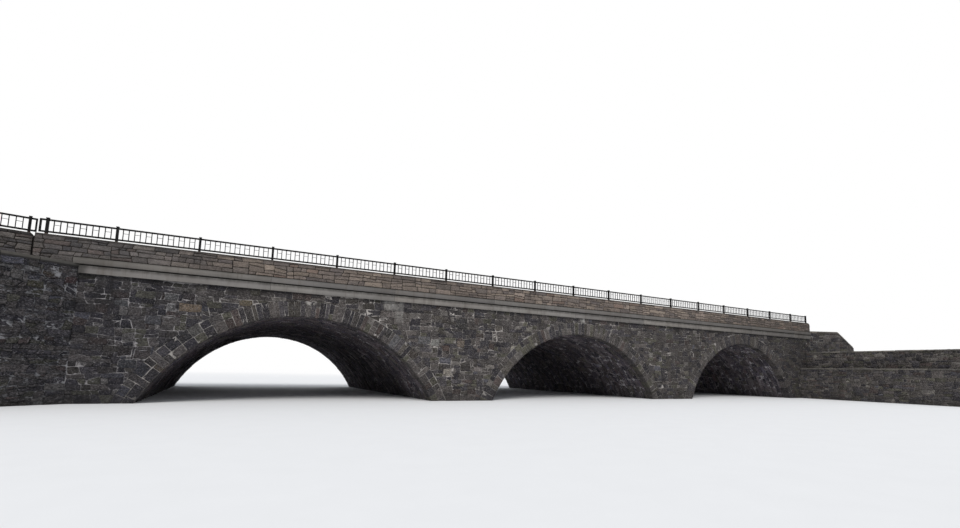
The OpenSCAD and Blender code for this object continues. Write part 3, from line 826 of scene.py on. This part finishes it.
work = Stonework(52, ((3, 106, 101, 94), (2, 96, 92, 87), (1, 116, 110, 102)), 0.1)
for way in (1, -1):
    on_flat = on_wing(RIGHT_CORNER, 1, RIGHT_WAY, way)

    def on_rake(u, v, w):
        return on_flat(WING_R_FLAT + u * math.cos(rake) + w * math.sin(rake), v,
                       WING_R_TOP - u * math.sin(rake) + w * math.cos(rake))

    low, high = sorted((-0.035 * way, (WALL_T + 0.01) * way))
    work.face(on_flat)
    for a, b in pairwise(cut_row(work.rng, 0.03, WING_R_FLAT - 0.03, 0.55, 0.95)):
        work.block((a + BED, low, WING_R_TOP - RAKE_T), (b - BED, high, WING_R_TOP + 0.01), 0.014, work.colour(), 0.003)
    work.face(on_rake)
    for a, b in pairwise(cut_row(work.rng, 0.01, tail / math.cos(rake) - 0.02, 0.3, 0.55)):
        work.block((a + BED, low, -0.07), (b - BED, high, 0.012), 0.014, work.colour(), 0.004)
work.build("wing_coping_stones", cap_stone)

# Terrace walls beside the right abutment: two low retaining walls of the same stone, one behind the other,
# with flat cap stones bedded on top.
TERRACES = (("lower", 35.9, 2.06), ("upper", 36.8, 3.2))
TERRACE_T, TERRACE_L = 0.45, 8.4
CAP_T, CAP_OUT = 0.07, 0.045
terrace_rubble = stone_finish("terrace_rubble_stone", grime=0.4, pale=0.12, moss=0.2)
dress(mortar_finish("terrace_mortar", rgb(124, 120, 114), rgb(50, 48, 46)), "terrace")
for seed, (name, x, height) in enumerate(TERRACES, 61):
    work = Stonework(seed)
    beyond = x + TERRACE_T
    for corners, past in (((x, 0, x, -TERRACE_L), (0, LAP)), ((x, -TERRACE_L, beyond, -TERRACE_L), (LAP, LAP)),
                          ((beyond, -TERRACE_L, beyond, 0), (LAP, 0))):
        cover(work, corners, 0, height - CAP_T, past=past, style=dict(step=0.25, crown=False), low=0.1, high=0.26)
    work.build("terrace_rubble_" + name, terrace_rubble)

    work = Stonework(seed + 4, ((3, 112, 108, 102), (2, 100, 97, 93), (1, 124, 118, 110)), 0.1)
    work.face(lambda u, v, w: at(u, v, height + w), (x - 0.05, beyond + 0.05, -TERRACE_L - 0.04, -0.02), 0.012)
    for a, b in pairwise(cut_row(work.rng, -TERRACE_L - 0.05, -0.02, 0.45, 0.9)):
        low, high = x - CAP_OUT + work.rng.uniform(-0.012, 0.012), beyond + CAP_OUT + work.rng.uniform(-0.012, 0.012)
        work.lay([(low, a), (high, a), (high, b), (low, b)], work.rng.uniform(0.006, 0.018), work.colour(), gap=0.007,
                 corner=0.03, step=0.2, wander=0.006, arris=0.016, rough=0.004, lean=0.012, root=CAP_T, closed=True)
    work.build("terrace_caps_" + name, cap_stone)

# Bands: the smooth concrete edge of the deck slab, a recess, and the base of the parapet above it.
# Both were cast in lengths of two railing bays with narrow open joints, and their arrises are lightly chamfered.
BAY, POST_X = 2.416, -5.864
DECK_Z = 4.47
PARAPET_LEFT, PARAPET_RIGHT = -5.495, 37.29
LOWER_TOP = 4.42
UPPER_LEFT, UPPER_TOP = -4.48, 4.66
# left and right end, front, back, bottom, top and how light it is
BANDS = ((LEFT_CORNER, RIGHT_CORNER, -0.1, -0.021, WALL_TOP, LOWER_TOP, 1),
         (UPPER_LEFT, PARAPET_RIGHT, -0.13, -0.03, DECK_Z, UPPER_TOP, 0.72))


def band_dirt_and_shade(f):
    """Dirt along the top of the parapet base and at the left end of the deck edge, painted shade on the top of the deck
    edge under the overhanging parapet base, both bands darker towards the right end, and the parapet base darker at its
    left end.
    """
    x, z, ragged = f.along(0), f.along(2), f.noise(8, 5, 0.7, 0.4).rises(0.25, 0.65)
    lower_top, upper_foot, upper_top = LOWER_TOP * SCALE, DECK_Z * SCALE, UPPER_TOP * SCALE
    on_lower, on_upper = z.rises(upper_foot - 0.005, upper_foot - 0.015), z.rises(upper_foot - 0.005, upper_foot)
    # painted shade: the top of the deck edge darker under the overhanging parapet base
    f.coat(rgb(44, 42, 40), z.rises(lower_top - 0.07, lower_top - 0.01) * on_lower * (0.3 + ragged * 0.5))
    f.coat(rgb(44, 42, 40), z.rises(upper_top - 0.03, upper_top - 0.005) * (0.1 + ragged * 0.3))
    f.coat(rgb(58, 55, 52), x.rises(1.5, 8) * 0.38 + x.rises(9.2, 10.2) * ragged * 0.35)
    f.coat(rgb(58, 56, 54), x.rises(-8.9, -10.2) * on_upper * 0.45)
    f.coat(rgb(52, 50, 48), x.rises(-10.0, -10.13) * on_lower * (0.7 + ragged * 0.25))


band = concrete_finish("band_concrete", None, rgb(84, 78, 71), grime=0.35, runs=0.5, marks_and_shade=band_dirt_and_shade)
# Near black: dark joints between the lengths, and painted shade in the recess between the bands.
band_joints_and_recess_shade = concrete_finish("band_joint_and_recess_shade_concrete", rgb(40, 38, 36), rgb(30, 29, 28))


def on_back(x, y, z):
    """Point on the far side, for pieces drawn as if on the near side with their left and right swapped."""
    return at(LEFT_CORNER + RIGHT_CORNER - x, BRIDGE_W - y, z)


for seed, name in ((71, "front"), (72, "back")):
    work = Stonework(seed, ((3, 119, 116, 113), (2, 114, 111, 109), (1, 123, 119, 115)), 0.03)
    work.face(at if name == "front" else on_back)
    for start, stop, out, back, low, high, tone in BANDS:
        joints = [start, *(x for x in (POST_X + BAY * n for n in range(1, 18, 2)) if x > start + 1.5), stop]
        for a, b in pairwise(joints):
            if name == "back":
                a, b = LEFT_CORNER + RIGHT_CORNER - b, LEFT_CORNER + RIGHT_CORNER - a
            tint = tuple(c * tone for c in work.colour())
            work.block((a + 0.001, out - 0.004, low - 0.003), (b - 0.001, back, high + 0.003), 0.007, tint, 0.0012)
    work.build("band_lengths_" + name, band)
dress(band_joints_and_recess_shade, "band", "deck_slab")

# Parapets: concrete cast against a liner of squared stone courses, buff grey, with thin dark joints on both faces.
# The approach parapets at the left end stand back from the joint and flare out with the sidewalk.
PARAPET_OUT, PARAPET_T = 0.06, 0.26
TOP_Z = 5.324
WALK_Z = 4.77
FLARE = math.radians(16)
APPROACH_L = 2.728
APPROACH_X, APPROACH_Y = PARAPET_LEFT - 0.07, 0.07
PARAPET_TOP = TOP_Z * SCALE  # on the model
MOULD_Z = UPPER_TOP + 0.024
END_SLOPE, JOINT_SLOPE = (0.13, 0.11), (0.07, 0.06)  # length and drop of the sloping tops
MOULD_LAP = 0.008  # how far the courses pass a corner
PARAPET_COLOURS = (
    (8, 126, 115, 107), (7, 117, 107, 101), (5, 135, 123, 113), (4, 108, 100, 95), (3, 143, 130, 121),
    (2, 125, 109, 100), (2, 104, 96, 93))
MOULD = dict(proud=(0.01, 0.032), wave=0.014, low=0.09, high=0.24, short=0.18, long=0.8, slant=0.03,
             style=dict(gap=0.011, corner=0.025, wander=0.007, arris=0.013, rough=0.005, lean=0.025, step=0.2,
                        root=0.004))


def approach(a, b):
    """Point of the front approach parapet: a outward along it from the joint, b inward from its outer face."""
    return (APPROACH_X - a * math.cos(FLARE) - b * math.sin(FLARE),
            APPROACH_Y - a * math.sin(FLARE) + b * math.cos(FLARE))


def parapet_dirt_and_shade(f):
    """Dirt along the top edge, painted shade that makes the left end colder and darker, and a darker right end."""
    x = f.along(0)
    # painted shade: the left end colder and darker
    f.dim(f.blend(WHITE, (0.62, 0.68, 0.76, 1), x.rises(-7.5, -9.6)))
    f.dim(1 - x.rises(4, 8) * 0.3)
    f.coat(rgb(50, 47, 45), f.along(2).rises(PARAPET_TOP - 0.05, PARAPET_TOP - 0.022) * 0.75)


moulded = stone_finish("moulded_parapet_concrete", grime=0.15, pale=0.1, gloss=0.84, even=True, marks_and_shade=parapet_dirt_and_shade)
f = Finish("parapet_joint_concrete", Specular_IOR_Level=0.2)
f.colour = f.blend(rgb(34, 31, 29), rgb(60, 56, 52), f.noise(4, 5, 0.6).rises(0.35, 0.65))
top_colour = f.blend(rgb(112, 107, 99), rgb(80, 76, 71), f.noise(5, 6, 0.7).rises(0.42, 0.68))
f.coat(top_colour, f.along(2).rises(PARAPET_TOP - 0.005, PARAPET_TOP - 0.0015))
sand = f.noise(110, 4, 0.7)
f.dim(0.75 + sand * 0.5)
dress(f.done(0.9, sand, 0.5, 0.004), "parapet", "approach_parapet")

length = PARAPET_RIGHT - PARAPET_LEFT
outside_y, inside_y = -PARAPET_OUT, PARAPET_T - PARAPET_OUT
end_z, joint_z = TOP_Z - END_SLOPE[1], TOP_Z - JOINT_SLOPE[1]
# corners, bottom, top, which ends the courses run past, and the slope that cuts the top
PARAPET_FACES = (
    ((PARAPET_LEFT, outside_y, PARAPET_RIGHT, outside_y), MOULD_Z, TOP_Z, (0, 1),
     (length - END_SLOPE[0], TOP_Z, length, end_z)),
    ((PARAPET_LEFT, outside_y, UPPER_LEFT, outside_y), DECK_Z, MOULD_Z, (0, 0), None),
    ((PARAPET_RIGHT, inside_y, PARAPET_LEFT, inside_y), WALK_Z, TOP_Z, (1, 0), (0, end_z, END_SLOPE[0], TOP_Z)),
    ((PARAPET_RIGHT, outside_y, PARAPET_RIGHT, inside_y), MOULD_Z, end_z, (1, 1), None),
    ((*approach(APPROACH_L, 0), *approach(0, 0)), DECK_Z, TOP_Z, (1, 0),
     (APPROACH_L - JOINT_SLOPE[0], TOP_Z, APPROACH_L, joint_z)),
    ((*approach(0, PARAPET_T), *approach(APPROACH_L, PARAPET_T)), WALK_Z, TOP_Z, (0, 1),
     (0, joint_z, JOINT_SLOPE[0], TOP_Z)),
    ((*approach(APPROACH_L, PARAPET_T), *approach(APPROACH_L, 0)), DECK_Z, TOP_Z, (1, 1), None))
for seed, near in ((81, True), (82, False)):
    work = Stonework(seed, PARAPET_COLOURS, 0.22)
    for corners, low, high, past, slope in PARAPET_FACES:
        cover(work, corners, low, high, near, cut=slope and below(*slope), past=[MOULD_LAP * n for n in past], **MOULD)
    work.build("parapet_mouldings_" + ("front" if near else "back"), moulded)


# Abutment tops: flat stones bedded between the coping of the left wing walls and the approach parapets.
# They keep rain out of the stonework, and are pointed with the mortar of the wing walls.
def mirrored(outline, way):
    """An outline drawn for the near side, and for the far side where way is -1."""
    return outline if way > 0 else [(u, -v) for u, v in reversed(outline)]


def beside(x, y, turn, clear=0):
    """Cut that keeps what lies left of a line through a point, at least clear away from it, for inside()."""
    return -math.sin(turn), math.cos(turn), math.cos(turn) * y - math.sin(turn) * x + clear


flare_line = beside(*approach(0, PARAPET_T), FLARE)
wing_line = beside(*left_in, LEFT_WAY)
work = Stonework(84, gain=WING_GAIN)
for base, way in ((0, 1), (BRIDGE_W, -1)):
    work.face(lambda u, v, w: at(u, base + v, WING_TOP + w), (left_in[0], PARAPET_LEFT, -9, 9), 0.02)
    for outline in random_rubble(work.rng, left_in[0], PARAPET_LEFT, left_in[1], 0.4, low=0.2, high=0.45, short=0.25):
        outline = inside(inside(outline, *wing_line), *(-c for c in flare_line))
        if len(outline) > 2 and area(outline) > 0.004:
            work.lay(mirrored(outline, way), work.rng.uniform(0.004, 0.018), work.colour(), gap=0.008, step=0.25,
                     rough=0.004, lean=0.02, crown=False)
work.build("abutment_top_stones", wing_rubble)

# Joint filler: a tarred fibre board in the gap between parapet and approach parapet, set back from the faces. Its
# near-black colour is also painted shade, for the shade deep in the joint.
# It was placed before the second of the two was cast, and stands on the abutment, a little lower than the sloping top.
f = Finish("joint_filler_board", Specular_IOR_Level=0.15)
fibre = f.noise(60, 5, 0.7, 0.2)
f.colour = f.blend(rgb(34, 33, 33), rgb(58, 55, 52), fibre.rises(0.35, 0.65))
board = f.done(0.95, fibre, 0.5, 0.003)
BOARD_H = TOP_Z - 0.075 - DECK_Z
BOARD_FRONT, BOARD_BACK = 0.1, 0.19
work = Stonework(85)
for base, way in ((0, 1), (BRIDGE_W, -1)):
    work.face(lambda u, v, w: at(u, base + v, DECK_Z + w))
    outline = [(PARAPET_LEFT + 0.004, BOARD_FRONT), (PARAPET_LEFT + 0.004, BOARD_BACK),
               (approach(0, 0.12)[0] - 0.006, BOARD_BACK), (approach(0, 0.03)[0] - 0.006, BOARD_FRONT)]
    work.lay(mirrored(outline, way), BOARD_H, WHITE, gap=0, corner=0.004, step=9, wander=0, arris=0.004,
             rough=0.001, lean=0, root=0, crown=False)
work.build("joint_filler", board)

# Railings: square steel tube posts, two rails and square bars, welded and painted near black.
# The paint has chalked a little, and rust shows in small spots and at the feet of the posts.
f = Finish("railing_paint", Specular_IOR_Level=0.12)
chalk = f.noise(14, 5, 0.65).rises(0.35, 0.7)
f.colour = f.blend(rgb(5, 5, 6), rgb(18, 19, 20), chalk * 0.6)
f.coat(rgb(66, 42, 30), f.noise(26, 6, 0.75).rises(0.62, 0.7) * 0.5)
feet = f.along(2).rises(PARAPET_TOP + 0.038, PARAPET_TOP + 0.006)
f.coat(rgb(62, 40, 30), feet * f.noise(40, 4, 0.6).rises(0.4, 0.6) * 0.5)
dress(f.done(0.46 + chalk * 0.2, f.noise(160, 3, 0.6), 0.18, 0.002), "railing", "posts", "approach_railing")

# Sidewalks and kerbs: brushed concrete slabs with tooled edges, and granite kerb stones about two metres long.
# The slabs reach under the parapets, follow the approach parapets out and run to the inner face of the right wings.
WALK_EDGE, KERB_W = 2.1, 0.15
DECK_LEFT, DECK_RIGHT = left_in[0], flat_in[0]
CLEAR = 0.012  # gap between the slabs and the parapets and wing walls
walk = concrete_finish("sidewalk_concrete", None, rgb(104, 101, 96), grime=0.22, runs=0.0, pits=0.2)
walk_bed = concrete_finish("sidewalk_joint_concrete", rgb(92, 90, 86), rgb(68, 66, 63))
kerb_stone = stone_finish("kerb_granite", grime=0.15, gloss=0.7, even=True)
wing_x = RIGHT_CORNER + across_right[0]
flare_line = beside(*approach(0, PARAPET_T), FLARE, CLEAR)
wing_line = beside(*flat_in, -RIGHT_WAY, CLEAR)
corner_line = beside(RIGHT_CORNER, 0, math.pi / 2 - RIGHT_WAY)
for seed, base, way in ((91, 0, 1), (92, BRIDGE_W, -1)):
    work = Stonework(seed, ((3, 146, 144, 139), (2, 139, 137, 132), (1, 152, 149, 143)), 0.03)
    work.face(lambda u, v, w: at(u, base + v, WALK_Z + w))
    for a, b in pairwise(cut_row(work.rng, DECK_LEFT, DECK_RIGHT, 1.5, 1.62)):
        slab = [(a, -1.5), (b, -1.5), (b, WALK_EDGE), (a, WALK_EDGE)]
        on_approach = inside(inside(slab, -1, 0, -APPROACH_X), *flare_line)
        on_bridge = inside(inside(inside(slab, 1, 0, APPROACH_X), -1, 0, -wing_x), 0, 1, inside_y + CLEAR)
        on_wings = inside(inside(slab, 1, 0, wing_x), *wing_line)
        for piece in (on_approach, inside(on_bridge, *corner_line), on_wings):
            if len(piece) > 2 and area(piece) > 0.02:
                work.lay(mirrored(piece, way), 0.005, work.colour(), gap=0.004, corner=0.006, step=9, wander=0.0,
                         arris=0.012, rough=0.0008, lean=0.001, root=0.004, crown=False)
    work.build("sidewalk_slabs_" + ("front" if way > 0 else "back"), walk)
dress(walk_bed, "sidewalk")

work = Stonework(95, ((3, 132, 130, 128), (2, 122, 121, 120), (1, 140, 137, 133)), 0.05)
work.face(at)
for base in (WALK_EDGE, BRIDGE_W - WALK_EDGE - KERB_W):
    for a, b in pairwise(cut_row(work.rng, DECK_LEFT, DECK_RIGHT, 1.7, 2.1)):
        work.block((a + 0.004, base - 0.002, DECK_Z + 0.01), (b - 0.004, base + KERB_W + 0.002, WALK_Z + 0.006), 0.012,
                   work.colour(), 0.0015)
work.build("kerb_stones", kerb_stone)
dress(mortar_finish("kerb_mortar", rgb(110, 107, 102), rgb(84, 82, 79)), "kerbs")

# Roadway: worn asphalt, greyed by traffic, with stone showing in the surface and cracks filled with tar.
# It was laid on the deck slab between the kerbs and is darker where wheels run.
ROAD_Y, LANE_Y = 1.44, 1.1  # middle of the road on the model, and of the lanes from there
f = Finish("road_asphalt", Specular_IOR_Level=0.3)
bits = f.node("ShaderNodeSeparateXYZ", sockets={0: f.cells("F1", 190.0, "Color")})
f.colour = f.blend(rgb(74, 74, 75), rgb(92, 91, 90), f.noise(0.8, 6, 0.6).rises(0.35, 0.65))
f.coat(rgb(124, 122, 119), bits.rises(0.8, 0.97) * 0.35)
f.coat(rgb(62, 62, 63), ((f.along(1) - ROAD_Y).size() - LANE_Y).size().rises(0.75, 0.2) * 0.35)
ripple = f.node("ShaderNodeTexNoise", None, {"Vector": f.place(), "Scale": 1.7, "Detail": 2.0}, "Color")
bent = f.node("ShaderNodeVectorMath", {"operation": "ADD"}, {0: f.place(), 1: ripple})
tar = f.cells("DISTANCE_TO_EDGE", 0.42, "Distance", bent).rises(0.009, 0.005)
f.coat(rgb(34, 34, 35), tar * 0.85)
dress(f.done(0.92 - tar * 0.25, bits * 0.6 + f.noise(70, 4, 0.7) * 0.4, 0.5, 0.003), "road_surface")
